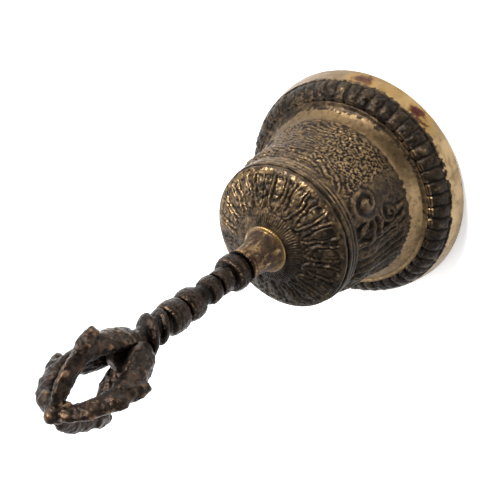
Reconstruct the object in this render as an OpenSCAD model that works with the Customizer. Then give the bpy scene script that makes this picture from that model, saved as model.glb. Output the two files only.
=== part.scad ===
// Cast brass hand bell (ghanta) with a beaded handle and a four-pronged finial.
// Row frame in millimetres: origin at the centre of the mouth, +Z up the handle.

/* [Bell shell] */
// Outer diameter of the mouth
mouth_d = 90; // [88:0.5:92]
// Height of the bright lip above the mouth
lip_h = 7.3; // [6.5:0.1:8]
// Radius of the thick lip's inner edge
lip_inner_r = 40.4; // [39:0.1:41]
// Outer radius at the waist, under the shoulder rings
waist_r = 27; // [26:0.1:27.5]
// Height of the flat seat on the crown
crown_z = 60.8; // [60.5:0.1:61]
// Wall thickness of the crown
crown_t = 4; // [3.5:0.1:4.5]

/* [Handle] */
// Length of the bright collar between crown and stem
collar_len = 14.1; // [13.8:0.1:14.3]
// Radius of the collar's flange
flange_r = 8.6; // [8:0.1:8.8]
// Azimuth to which the two crooked rings lean
ring_lean_azimuth = 180; // [0:5:360]
// Lean of the two crooked rings, in degrees
ring_lean = 25; // [0:1:26]

/* [Finial] */
// Angle by which the whole finial stands out of true
finial_lean = 5.2; // [0:0.1:6]
// Azimuth to which the finial leans
finial_lean_azimuth = 230; // [0:5:360]
// Turn of the finial about the handle
finial_turn = 2.5; // [0:0.5:90]
// Radius at which the prongs bow out the most, at their centreline
prong_bow_r = 12.2; // [11.5:0.1:12.6]
// Overall height before the finial leans
total_h = 165.8; // [165.2:0.1:167]

/* [Clapper] */
// Radius of the striker ball
striker_r = 7.5; // [6.5:0.1:8]
// Height of the striker's centre when it hangs at rest
striker_z = 13.4; // [13:0.1:14]
// Radius of the tie rod that clamps shell, collar and stem
tie_r = 2; // [1.8:0.05:2.1]

/* [Hidden] */
$fn = 64;

dark_brass = [0.25, 0.19, 0.12];
worn_brass = [0.62, 0.48, 0.26];
iron = [0.30, 0.28, 0.26];

mouth_r = mouth_d / 2;
hole_gap = 0.1;            // radial room round the tie rod and in every socket
seat_r = 9;                // flat seat on the crown, outside and inside

// Stations of the shell's outline, upwards from the mouth
roll_top_z = 12.9;         // upper edge of the petalled roll
band_top_z = 18.6;         // upper edge of the polished band
rings_z = 45.2;            // start of the three shoulder rings
ring_pitch = 1.8;
ring_bulge = 0.6;
shoulder_z = 50.6;         // foot of the dome
shoulder_r = 26.3;
dome_bulge = 0.7;          // how far the dome swells over its foot
dome_z = 52.6;             // height of its widest line

// Stem stations
stem_z = crown_z + collar_len;
stem_top_z = 125.2;
spigot_r = 3.4;            // spigot that centres the stem in the collar
spigot_len = 5;
socket_top_z = 87;         // blind end of the tie rod's socket
tenon_r = 2.4;             // tenon that holds the finial cup
tenon_len = 3.6;

// Clapper chain, from the nut downwards
washer_t = 1;
washer_r = 7.2;
nut_t = 3.2;
nut_flats = 9;
eye_neck = 1.1;            // from the nut down to the eye of the tie rod
eye_wire = 1.2;            // wire radius of the tie rod's eye
eye_r = 2.8;               // centreline radius of that eye
link_wire = 0.9;
link_r = 3.7;
rod_wire = 1.0;
rod_eye_r = 2.6;
chain_gap = 0.1;           // play between rings that hang in each other
under_crown_z = crown_z - crown_t;
nut_z = under_crown_z - washer_t - nut_t;
eye_z = nut_z - eye_neck - eye_wire - eye_r;
link_pivot_z = eye_z - eye_r;                                   // swing axis X
link_z = link_pivot_z - (link_r - link_wire - eye_wire - chain_gap);
clapper_pivot_z = link_z - link_r;                              // swing axis Y
rod_eye_z = clapper_pivot_z + link_wire + rod_wire + chain_gap - rod_eye_r;
rod_r = 1.6;
peen_r = 2.6;
peen_t = 1.1;

function arc(cx, cy, r, from, to, n = 8) =
    [for (i = [0:n]) let (t = from + (to - from) * i / n) [cx + r * cos(t), cy + r * sin(t)]];

// A round swelling: half an ellipse on a straight neck, from its lower to its upper valley
function bead(zc, half, r, valley, n = 8) =
    [for (i = [0:n]) let (t = -90 + 180 * i / n) [valley + (r - valley) * cos(t), zc + half * sin(t)]];

// Smooth rise from one radius to another between two heights
function ease(r0, z0, r1, z1, n = 8) =
    [for (i = [0:n]) let (t = i / n) [r0 + (r1 - r0) * t * t * (3 - 2 * t), z0 + (z1 - z0) * t]];

// Concave flare: radius falls quickly at first, then slowly
function flare(r0, z0, r1, z1, n = 10, k = 1.9) =
    [for (i = [0:n]) let (t = i / n) [r1 + (r0 - r1) * pow(1 - t, k), z0 + (z1 - z0) * t]];

// Low dome over the shoulder, steep at first and then closing in on the crown seat
function dome(r0, z0, r1, z1, n = 12, k = 1.15) =
    [for (i = [1:n]) let (t = i / n) [r1 + (r0 - r1) * (1 - pow(t, k)), z0 + (z1 - z0) * t]];

function shell_outside() = concat(
    [[lip_inner_r, 0]],
    arc(mouth_r - 0.9, 0.9, 0.9, -90, 0, 5),
    [[mouth_r - 0.5, lip_h * 0.55], [mouth_r - 1.4, lip_h]],
    arc(36.0, 6.0, 7.2, 14, 72, 8),
    bead(roll_top_z + 0.1, 0.4, 37.1, 36.6, 6),
    [[35.4, roll_top_z + 0.6]],
    flare(35.2, roll_top_z + 0.8, 31.8, band_top_z, 6, 1.5),
    [[32.1, band_top_z + 0.3]],
    flare(31.7, band_top_z + 0.8, 29, 37, 8, 1.9),
    ease(29, 38, waist_r, rings_z, 5),
    [for (k = [0:2]) each bead(rings_z + (k + 0.5) * ring_pitch, ring_pitch / 2, waist_r + ring_bulge, waist_r, 6)],
    [for (i = [0:5]) let (t = 90 * i / 5) [shoulder_r + dome_bulge * sin(t), dome_z - (dome_z - shoulder_z) * cos(t)]],
    dome(shoulder_r + dome_bulge, dome_z, seat_r, crown_z)
);

// From the thick sound bow at the mouth up the thin wall to the crown
function shell_inside() = concat(
    [[lip_inner_r - 0.5, 1.8], [38.5, 4.4], [35.8, 8], [32.8, 11.6], [30.7, 15]],
    flare(29.6, 17, 24, 42.5, 10, 1.7),
    [[23.6, 45.5], [23.3, 48.5]],
    dome(23.3, 48.5, seat_r, under_crown_z, 10, 1.6)
);

function reverse(list) = [for (i = [len(list) - 1:-1:0]) list[i]];

module bell_shell() {
    bore = tie_r + hole_gap;
    color(dark_brass) rotate_extrude() polygon(concat(
        shell_outside(), [[bore, crown_z], [bore, under_crown_z]], reverse(shell_inside())
    ));
}

module handle_collar() {
    bore = spigot_r + hole_gap;
    top = stem_z;
    outline = concat(
        [[flange_r - 0.5, crown_z]],
        bead(crown_z + 0.65, 0.65, flange_r, flange_r - 0.5, 6),
        flare(7.3, crown_z + 1.6, 5.6, top - 1.8, 10, 1.8),
        bead(top - 0.9, 0.9, 5.9, 5.5, 6)
    );
    color(worn_brass) difference() {
        rotate_extrude() polygon(concat(outline, [[0, top], [0, crown_z]]));
        translate([0, 0, crown_z - 1]) cylinder(r = tie_r + hole_gap, h = collar_len + 2);
        translate([0, 0, top - spigot_len - 0.3]) cylinder(r = bore, h = spigot_len + 1);
    }
}

// Beads of the stem: height of centre, half length, radius, radius of the valleys beside it
STEM_BEADS = [
    [stem_z + 0.7, 0.7, 6.1, 5.4],
    [stem_z + 4.8, 3.4, 6.45, 4.3],
    [86.2, 2.9, 4.4, 3.8],
    [92.0, 2.8, 4.6, 3.5],
    [102.0, 3.9, 5.4, 3.5],
    [110.0, 4.0, 5.5, 4.1]
];

module stem_core() {
    outline = concat(
        [for (b = STEM_BEADS) each bead(b[0], b[1], b[2], b[3], 10)],
        ease(4.0, 115, 3.9, stem_top_z + 1, 4)
    );
    rotate_extrude() polygon(concat([[0, stem_z]], outline, [[0, stem_top_z + 1]]));
}

// A thick ring that was cast leaning over
module crooked_ring(z, half, r, core) {
    translate([0, 0, z]) rotate([0, 0, ring_lean_azimuth]) rotate([0, -ring_lean, 0])
        rotate_extrude() polygon(concat([[0, -half]], bead(0, half, r, core, 8), [[0, half]]));
}

// Everything above the stem stands a little out of true
module lean() {
    translate([0, 0, stem_top_z]) rotate([0, 0, finial_lean_azimuth]) rotate([0, finial_lean, 0])
        rotate([0, 0, -finial_lean_azimuth]) translate([0, 0, -stem_top_z]) children();
}

module handle_stem() {
    color(dark_brass) difference() {
        union() {
            difference() {
                union() {
                    stem_core();
                    crooked_ring(116.3, 1.5, 5.1, 3.4);
                    crooked_ring(121.7, 1.7, 6.1, 3.4);
                }
                lean() translate([0, 0, stem_top_z]) cylinder(r = 12, h = 8);
            }
            translate([0, 0, stem_z - spigot_len]) cylinder(r = spigot_r, h = spigot_len + 1);
            lean() translate([0, 0, stem_top_z - 1]) cylinder(r = tenon_r, h = tenon_len + 1);
        }
        translate([0, 0, stem_z - spigot_len - 1])
            cylinder(r = tie_r + hole_gap, h = socket_top_z - stem_z + spigot_len + 1);
    }
}

cup_rim_z = 133;
cup_rim_r = 7.3;
bowl_r = 7;
bowl_rise = 5.3;           // height of the bowl's centre over the rim

module cup_body() {
    outside = concat(
        ease(4.0, stem_top_z, 6.6, cup_rim_z - 3, 8),
        bead(cup_rim_z - 1.5, 1.5, cup_rim_r, 6.6, 6)
    );
    rotate_extrude() polygon(concat([[0, stem_top_z]], outside, [[0, cup_rim_z]]));
}

module finial_cup() {
    color(dark_brass) lean() difference() {
        cup_body();
        translate([0, 0, cup_rim_z + bowl_rise]) sphere(r = bowl_r);
        translate([0, 0, stem_top_z - 1]) cylinder(r = tenon_r + hole_gap, h = tenon_len + 1.1);
    }
}

// Centreline of a prong in its own radial plane: radius, height, half width, half thickness
PRONG = [
    [4.2, 129.5, 2.9, 2.1],
    [7.3, 133.2, 4.3, 2.5],
    [9.7, 137.6, 4.4, 2.7],
    [prong_bow_r - 0.6, 142.4, 4.3, 2.9],
    [prong_bow_r - 0.1, 147.5, 4.2, 2.9],
    [prong_bow_r - 1.1, 152.2, 3.8, 2.8],
    [8.7, 156.5, 3.3, 2.6],
    [5.3, 160.0, 2.6, 2.2],
    [1.0, 162.2, 1.8, 1.4]
];
PRONG_REACH = [1, 1, 0.94, 0.86];   // how far each hand-bent prong bows, as a share of that line
prong_sides = 14;
prong_rings = 24;
bud_foot_z = 160;
bud_r = 3.2;
bud_tip_r = 2;

function spline(p, t) =
    let (n = len(p) - 1,
         i = min(floor(t * n), n - 1),
         u = t * n - i,
         a = p[max(i - 1, 0)], b = p[i], c = p[i + 1], d = p[min(i + 2, n)])
    0.5 * (2 * b + (c - a) * u + (2 * a - 5 * b + 4 * c - d) * u * u + (3 * b - a - 3 * c + d) * u * u * u);

function prong_ring(t, reach) =
    let (p = spline(PRONG, t),
         q = spline(PRONG, min(t + 0.01, 1)) - spline(PRONG, max(t - 0.01, 0)),
         m = norm([q[0], q[1]]),
         side = [q[1], -q[0]] / m)
    [for (k = [0:prong_sides - 1]) let (s = 360 * k / prong_sides)
        [reach * p[0] + side[0] * p[3] * cos(s), p[2] * sin(s), p[1] + side[1] * p[3] * cos(s)]];

module prong_bar(reach) {
    points = [for (i = [0:prong_rings]) each prong_ring(i / prong_rings, reach)];
    walls = [for (i = [0:prong_rings - 1], k = [0:prong_sides - 1])
        let (n = prong_sides, a = i * n + k, b = i * n + (k + 1) % n) [a, a + n, b + n, b]];
    first_cap = [for (k = [0:prong_sides - 1]) k];
    last_cap = [for (k = [prong_sides - 1:-1:0]) prong_rings * prong_sides + k];
    polyhedron(points = points, faces = concat(walls, [first_cap, last_cap]), convexity = 6);
}

// A pointed spur, from one point of the radial plane to another, each given as radius and height
module spur(from, to, base, point) {
    run = to - from;
    translate([from[0], 0, from[1]]) rotate([0, atan2(run[0], run[1]), 0])
        cylinder(r1 = base, r2 = point, h = norm(run));
}

module bud_body() {
    outline = concat(
        [for (i = [0:8]) let (t = 90 * i / 8) [bud_r * sin(t), bud_foot_z + 2.6 - 2.6 * cos(t)]],
        ease(bud_r, bud_foot_z + 3.2, bud_tip_r, total_h - bud_tip_r, 6),
        [for (i = [1:6]) let (t = 90 * i / 6) [bud_tip_r * cos(t), total_h - bud_tip_r * (1 - sin(t))]]
    );
    rotate_extrude() polygon(outline);
}

module prong(index) {
    reach = PRONG_REACH[index];
    color(dark_brass) lean() difference() {
        rotate([0, 0, 45 + finial_turn + 90 * index]) {
            prong_bar(reach);
            spur([13 * reach, 147], [16.2 * reach, 140], 2.7, 0.6);
            spur([11.2 * reach, 146], [7.8 * reach, 142.5], 1.9, 0.6);
        }
        cup_body();
        bud_body();
    }
}

module finial_tip() {
    color(dark_brass) lean() bud_body();
}

module eye(z, r, wire) {
    translate([0, 0, z]) rotate([90, 0, 0]) rotate_extrude() translate([r, 0]) circle(r = wire);
}

module tie_rod() {
    color(iron) {
        eye(eye_z, eye_r, eye_wire);
        translate([0, 0, eye_z + eye_r - 0.4]) cylinder(r1 = eye_wire, r2 = tie_r, h = nut_z - eye_z - eye_r + 0.4);
        translate([0, 0, nut_z]) cylinder(r = tie_r, h = socket_top_z - 1 - nut_z);
    }
}

module crown_washer() {
    color(iron) translate([0, 0, under_crown_z - washer_t]) difference() {
        cylinder(r = washer_r, h = washer_t);
        translate([0, 0, -1]) cylinder(r = tie_r + hole_gap, h = washer_t + 2);
    }
}

module lock_nut() {
    color(iron) translate([0, 0, nut_z]) difference() {
        intersection() {
            cylinder(r = nut_flats / sqrt(3), h = nut_t, $fn = 6);
            translate([0, 0, -1]) cylinder(r = nut_flats / sqrt(3) - 0.25, h = nut_t + 2);
        }
        translate([0, 0, -1]) cylinder(r = tie_r + hole_gap, h = nut_t + 2);
    }
}

module clapper_link() {
    color(iron) translate([0, 0, link_z]) rotate([0, 90, 0]) rotate_extrude() translate([link_r, 0]) circle(r = link_wire);
}

module clapper_rod() {
    shoulder = striker_z + striker_r;
    color(iron) {
        eye(rod_eye_z, rod_eye_r, rod_wire);
        translate([0, 0, shoulder - 0.4]) cylinder(r = rod_r, h = rod_eye_z - rod_eye_r - shoulder + 0.8);
        translate([0, 0, shoulder]) cylinder(r1 = peen_r, r2 = rod_r, h = 1.6);
        translate([0, 0, striker_z - striker_r]) cylinder(r = rod_r, h = 2 * striker_r);
        translate([0, 0, striker_z - striker_r - peen_t]) cylinder(r1 = rod_r + 0.2, r2 = peen_r, h = peen_t);
    }
}

module clapper_striker() {
    color(worn_brass) translate([0, 0, striker_z]) difference() {
        intersection() {
            sphere(r = striker_r + 0.25);
            translate([0, 0, -striker_r]) cylinder(r = striker_r + 1, h = 2 * striker_r);
        }
        translate([0, 0, -striker_r - 1]) cylinder(r = rod_r + hole_gap, h = 2 * striker_r + 2);
    }
}

bell_shell();
handle_collar();
handle_stem();
finial_cup();
for (i = [0:3]) prong(i);
finial_tip();
tie_rod();
crown_washer();
lock_nut();
clapper_link();
clapper_rod();
clapper_striker();
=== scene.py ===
"""Looks of a cast brass hand bell: an aged patina, worn relief, polished lip, band and collar, with painted
light: the side toward the key lamp painted lighter, and painted highlights on the relief.
"""

import math
from types import SimpleNamespace

import bpy
import numpy as np
from mathutils import Matrix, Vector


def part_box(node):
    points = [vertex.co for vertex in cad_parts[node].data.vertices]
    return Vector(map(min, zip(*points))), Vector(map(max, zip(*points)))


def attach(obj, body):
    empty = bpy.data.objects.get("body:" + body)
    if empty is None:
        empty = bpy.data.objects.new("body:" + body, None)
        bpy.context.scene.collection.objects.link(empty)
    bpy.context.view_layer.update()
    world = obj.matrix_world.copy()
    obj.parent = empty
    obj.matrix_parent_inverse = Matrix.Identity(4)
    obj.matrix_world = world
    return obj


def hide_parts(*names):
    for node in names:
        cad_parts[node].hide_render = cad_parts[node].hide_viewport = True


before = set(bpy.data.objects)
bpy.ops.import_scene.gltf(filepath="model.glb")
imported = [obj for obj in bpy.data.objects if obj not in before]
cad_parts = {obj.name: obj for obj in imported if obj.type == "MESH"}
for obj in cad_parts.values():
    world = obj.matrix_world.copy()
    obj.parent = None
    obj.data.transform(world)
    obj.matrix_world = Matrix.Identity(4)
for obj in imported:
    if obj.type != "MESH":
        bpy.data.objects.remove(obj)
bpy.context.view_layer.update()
MM = 0.001


# ---------- noise, the same on each run ----------

def lattice(ix, iy, iz, seed):
    """A fixed number from 0 to 1 for each point of a grid of whole numbers."""
    h = (ix * 374761393 + iy * 668265263 + iz * 1274126177 + seed * 974634777) & 0xFFFFFFFF
    h = ((h ^ (h >> 13)) * 1103515245) & 0xFFFFFFFF
    h = ((h ^ (h >> 16)) * 2246822519) & 0xFFFFFFFF
    return ((h >> 8) & 0xFFFF) / 65535.0


def noise(x, y, z, seed):
    """Smooth value noise, 0 to 1, with one cell a unit."""
    fx, fy, fz = np.floor(x), np.floor(y), np.floor(z)
    ix, iy, iz = fx.astype(np.int64), fy.astype(np.int64), fz.astype(np.int64)
    ux, uy, uz = x - fx, y - fy, z - fz
    ux, uy, uz = (u * u * u * (u * (u * 6 - 15) + 10) for u in (ux, uy, uz))
    out = 0.0
    for dx in (0, 1):
        for dy in (0, 1):
            for dz in (0, 1):
                w = (ux if dx else 1 - ux) * (uy if dy else 1 - uy) * (uz if dz else 1 - uz)
                out = out + w * lattice(ix + dx, iy + dy, iz + dz, seed)
    return out


def fbm(x, y, z, seed, octaves=3):
    """Several sizes of noise laid over each other, 0 to 1."""
    total, amp, norm = 0.0, 1.0, 0.0
    for k in range(octaves):
        total = total + amp * noise(x * 2 ** k, y * 2 ** k, z * 2 ** k, seed + 17 * k)
        norm += amp
        amp *= 0.55
    return total / norm


def step(lo, hi, x):
    """A smooth rise from 0 at lo to 1 at hi, or a fall where lo is the larger."""
    t = np.clip((x - lo) / (hi - lo), 0, 1)
    return t * t * (3 - 2 * t)


def bump(x, centre, half):
    """A smooth hill, 1 at its centre and 0 beyond its half width."""
    t = np.clip(1 - ((x - centre) / half) ** 2, 0, 1)
    return t * t


def turn_from(az, a):
    """Signed angle from azimuth a to az, in degrees."""
    return (az - a + 180) % 360 - 180


# ---------- meshes ----------

def linked(name, data):
    """A new object in the scene."""
    obj = bpy.data.objects.new(name, data)
    bpy.context.collection.objects.link(obj)
    return obj


def set_attributes(mesh, attrs):
    """Values at each vertex, which the materials read by name."""
    for key, values in attrs.items():
        layer = mesh.attributes.new(key, "FLOAT", "POINT")
        layer.data.foreach_set("value", np.ascontiguousarray(values, dtype=np.float32))


def mesh_object(name, verts, faces, attrs=None):
    mesh = bpy.data.meshes.new(name)
    mesh.from_pydata([tuple(v) for v in verts.tolist()], [], faces)
    mesh.update()
    set_attributes(mesh, attrs or {})
    mesh.polygons.foreach_set("use_smooth", [True] * len(mesh.polygons))
    return linked(name, mesh)


def ring_faces(rows, cols, closed=False):
    faces = []
    last = rows if closed else rows - 1
    for i in range(last):
        a, b = i * cols, ((i + 1) % rows) * cols
        for j in range(cols):
            k = (j + 1) % cols
            faces.append((a + j, a + k, b + k, b + j))
    return faces


def resample(points, pitch):
    """Evenly spaced points along an outline, with its corners kept."""
    points = np.array(points, float)
    out = [points[0]]
    for a, b in zip(points[:-1], points[1:]):
        n = max(1, int(round(np.linalg.norm(b - a) / pitch)))
        out += [a + (b - a) * (k + 1) / n for k in range(n)]
    return np.array(out)


def outline_normals(p):
    """Outward normals of an outline whose outside lies to the right of its run."""
    d = np.gradient(p, axis=0)
    n = np.stack([d[:, 1], -d[:, 0]], 1)
    return n / np.maximum(np.linalg.norm(n, axis=1, keepdims=True), 1e-9)


def arc(cx, cy, r, a0, a1, n):
    t = np.radians(np.linspace(a0, a1, n))
    return [(cx + r * math.cos(k), cy + r * math.sin(k)) for k in t]


def bead(zc, half, r, valley, n):
    """Outline of a swelling that rises from the radius valley to r."""
    t = np.radians(np.linspace(-90, 90, n))
    return [(valley + (r - valley) * math.cos(k), zc + half * math.sin(k)) for k in t]


def ease(r0, z0, r1, z1, n=10):
    """Outline that leaves and arrives upright."""
    return [(r0 + (r1 - r0) * t * t * (3 - 2 * t), z0 + (z1 - z0) * t) for t in np.linspace(0, 1, n)]


def flare(r0, z0, r1, z1, n, k):
    """Outline that turns in fast below and runs upright above."""
    return [(r1 + (r0 - r1) * (1 - t) ** k, z0 + (z1 - z0) * t) for t in np.linspace(0, 1, n)]


def dome(r0, z0, r1, z1, n=16, k=1.15):
    """Outline of a rounded top, steeper at its edge."""
    return [(r1 + (r0 - r1) * (1 - t ** k), z0 + (z1 - z0) * t) for t in np.linspace(0, 1, n)[1:]]


def high_pass(h, reach):
    """How far each point stands over the mean of its neighbours, on a grid that closes round its columns."""
    mean = h.copy()
    for _ in range(reach):
        mean = (mean + np.roll(mean, 1, 1) + np.roll(mean, -1, 1)) / 3
        pad = np.pad(mean, ((1, 1), (0, 0)), mode="edge")
        mean = (pad[:-2] + pad[1:-1] + pad[2:]) / 3
    return h - mean


# ---------- bell shell ----------

_, shell_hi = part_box("bell_shell")
crown_z = shell_hi[2] / MM
mouth_r = shell_hi[0] / MM
COLS = 640
MOTIFS = 2                  # the cast ornament repeats this often round the body
LOBES = 54                  # petals of the roll above the lip
PETALS = 18                 # petals of the dome
RIBS = 76                   # fine ribs round the collar
# heights above the mouth in mm, and radii where one height isn't enough
LIP_TOP = 7.3
ROLL_TOP, ROLL_R = 12.8, 36.5
BAND_LOW, BAND_TOP, BAND_R = 13.3, 18.9, 31
BODY_TOP, BODY_R = 45.3, 33
RINGS_TOP, RINGS_R, DOME_R = 52.0, 26, 26.9
PETAL_IN, PETAL_OUT = 14.0, 25.4    # radii between which the dome's petals lie
GROOVE_R = 13.6                     # dark groove between the petals and the ribs
LIT_SIDE_AZ = -25                       # the side that faces the key lamp: patina and rubbed relief painted lighter there as painted light, darker on the far side as painted shade
CRISP_AZ = -145                     # the side where the petals of the roll are sharpest
GLINT_AZ = -110                     # where a highlight is painted onto the ridge over the roll
RINGS_N, RING_STEP = 3, 1.8         # rings of the shoulder, and height of one
BODY_MEAN_R = 29                    # radius at which the ornament is laid out
SCROLL_AZ, SCROLL_Z = -105, 37.0    # centre of the big scroll
# rolled scrolls of a motif: mm round from its centre, height, size, hand
CURLS = ((0.5, SCROLL_Z, 6.8, 1), (-7.5, 27.5, 4.6, -1))
# heat stains and warm patches of the lip: azimuth, height, half width in degrees, half height, depth
STAINS = (
    (-50, 4.6, 6.5, 2.6, 0.9), (-66, 3.5, 16, 5.0, 0.24), (-81, 4.2, 4.5, 3.0, 1.0),
    (-86, 5.8, 6.0, 1.5, 0.8), (35, 4, 6, 3, 0.8), (120, 5, 5, 3, 0.9),
)


def shell_outline():
    outside = (
        arc(mouth_r - 0.9, 0.9, 0.9, -90, 0, 5)
        + [(mouth_r - 0.5, 4.0), (mouth_r - 1.4, LIP_TOP)]
        + arc(36.0, 6.0, 7.2, 14, 72, 12)
        + bead(13.0, 0.4, 37.1, 36.6, 6) + [(35.4, 13.5)]
        + flare(35.2, 13.7, 31.8, 18.6, 8, 1.5) + [(32.1, BAND_TOP)]
        + flare(31.7, 19.4, 29, 37, 12, 1.9)
        + ease(29, 38, 27, 45.2, 8)
        + [p for k in range(RINGS_N) for p in bead(45.2 + (k + 0.5) * RING_STEP, 0.9, 27.6, 27.0, 9)]
        + [(26.3 + 0.7 * math.sin(t), 52.6 - 2.0 * math.cos(t)) for t in np.radians(np.linspace(0, 90, 7))]
        + dome(27.0, 52.6, 9.0, crown_z)
    )
    inside = (
        [(2.1, crown_z), (2.1, crown_z - 4)]
        + dome(23.3, 48.5, 9, crown_z - 4, 11, 1.6)[::-1]
        + [(23.3, 48.5), (23.6, 45.5)]
        + flare(29.6, 17, 24, 42.5, 11, 1.7)[::-1]
        + [(30.7, 15), (32.8, 11.6), (35.8, 8), (38.5, 4.4), (39.9, 1.8), (40.4, 0)]
    )
    return resample(outside, 0.36), resample(inside, 1.5)


def casting_skin(x, y, z, size, coarse, fine, seed):
    """Roughness of the cast surface."""
    return (coarse * (fbm(x / size, y / size, z / size, seed) - 0.5)
            + fine * (noise(x / 0.6, y / 0.6, z / 0.6, seed + 1) - 0.5))


def lobes(az, z, seed):
    """Rounded petals round the roll: height, and how worn they are."""
    ph = (az / 360 * LOBES) % 1
    c = np.abs(ph - 0.5) * 2                       # 0 on a petal's middle line, 1 between two petals
    v = np.clip((z - 7.4) / 5.3, 0, 1)             # 0 at the foot of the roll, 1 at its top
    cell = np.floor(az / 360 * LOBES)
    odd = noise(cell * 1.7, v * 0 + 3.1, z * 0, seed)
    body = (1 - c ** 3) * step(0.02, 0.3, v) * (0.7 + 0.6 * odd)
    groove = np.exp(-((1 - c) / 0.16) ** 2) * step(0.0, 0.25, v)
    boss = np.exp(-((c / 0.42) ** 2 + ((v - 0.66) / 0.2) ** 2)) * (0.5 + odd)
    return 0.36 * body - 0.5 * groove + 0.32 * boss, 0.20 * body + 0.55 * boss - 0.25 * groove


def curl(du, dv, size, hand):
    """One rolled scroll, a boss with a spiral groove round it: height, and where it covers the ground."""
    rho = np.sqrt(du * du + dv * dv)
    phi = np.arctan2(dv, du * hand)
    rho = rho * (1 + 0.16 * np.cos(phi + 0.8))
    mask = step(size, size * 0.62, rho)
    spiral = np.cos(2 * math.pi * rho / (size * 0.66) - phi)
    height = 0.22 + 0.30 * spiral + 0.25 * np.exp(-(rho / (0.3 * size)) ** 2)
    return mask * height, mask * step(size, size * 0.8, rho)


def body_relief(az, z, r):
    """Ornament of the body, a stippled panel, scrolls, wavy ridges and a fan of curved flutes in each motif:
    height, and where it is stippled. The names with m_ say where each kind lies."""
    rad = np.radians(az)
    x, y = r * np.cos(rad), r * np.sin(rad)
    period = 360 / MOTIFS
    phi = (az - SCROLL_AZ + period / 2) % period - period / 2     # degrees from the big scroll
    u = np.radians(phi) * BODY_MEAN_R                             # the same in mm
    warp_u = 2.6 * (fbm(x / 6, y / 6, z / 6, 3) - 0.5)
    warp_v = 2.6 * (fbm(x / 6, y / 6, z / 6, 9) - 0.5)
    # fan of flutes below the scroll, spreading towards the mouth
    spread = u * (1 + 0.006 * (44 - z)) - 0.22 * (44 - z) - 0.006 * (z - 20) ** 2 + 0.9 * warp_u
    chip = step(0.3, 0.6, fbm(x / 2.5, y / 2.5, z / 4, 14))
    fan = (0.25 + 0.45 * chip) * np.sin(2 * math.pi * spread / 1.9)
    fan = fan + 1.2 * np.sin(2 * math.pi * spread / 4.3 + 2)
    fan = fan + 0.8 * (fbm(x / 1.2, y / 1.2, z / 2.2, 15) - 0.5)
    m_fan = step(-9, -15, phi)
    # long wavy ridges that run round the waist
    run = z + 0.22 * u + 5.0 * (fbm(x / 6, y / 6, z / 8, 31) - 0.5) + warp_v * 0.5
    broken = step(0.25, 0.6, fbm(x / 2.4, y / 2.4, z / 1.3, 12))
    wavy = np.sin(2 * math.pi * run / 1.6) * broken + 0.9 * (fbm(x / 1.5, y / 1.5, z / 0.7, 13) - 0.5)
    m_wavy = np.maximum(step(44, 62, phi), step(-66, -84, phi))
    m_wavy = np.maximum(m_wavy, 0.85 * step(37, 42, z) * step(8, 20, phi))
    # stipple, punched between
    grain = noise(x / 0.55, y / 0.55, z / 0.55, 44) + 0.6 * noise(x / 0.95, y / 0.95, z / 0.95, 45)
    m_grain = step(6, 14, phi) * (1 - m_wavy)
    # rays round the big scroll
    rho, ray = np.hypot(u, z - SCROLL_Z), np.arctan2(z - SCROLL_Z, u)
    rays = np.sin(13 * ray + 0.5 * rho + 2 * warp_u / 2.6)
    rays = rays * step(6.0, 8.0, rho) * step(17.0, 11.0, rho) * step(7, -3, phi)
    fan = fan * (1 - 0.7 * step(17.0, 11.0, rho)) + 1.5 * rays
    h = 0.58 * fan * m_fan * (1 - m_wavy) + 0.34 * wavy * m_wavy + 0.85 * (grain - 0.8) * m_grain
    cover = m_fan * 0
    for cu, cz, size, hand in CURLS:
        k, m = curl(u - cu + warp_u * 0.35, z - cz + warp_v * 0.35, size, hand)
        h = h * (1 - m) + (1.3 + 0.15 * size) * k
        cover = np.maximum(cover, m)
    boss = bump(np.hypot((u + 13.5 + warp_u * 0.3) / 2.6, (z - 24.5) / 1.7), 0, 1)
    h = h * (1 - boss) + 0.9 * boss
    # everything fades into a plain fillet at the band and the rings
    edge = step(19.2, 20.6, z) * step(45.0, 43.4, z)
    return edge * h + casting_skin(x, y, z, 1.3, 0.42, 0.26, 71), m_grain * (1 - cover) * edge


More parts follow.
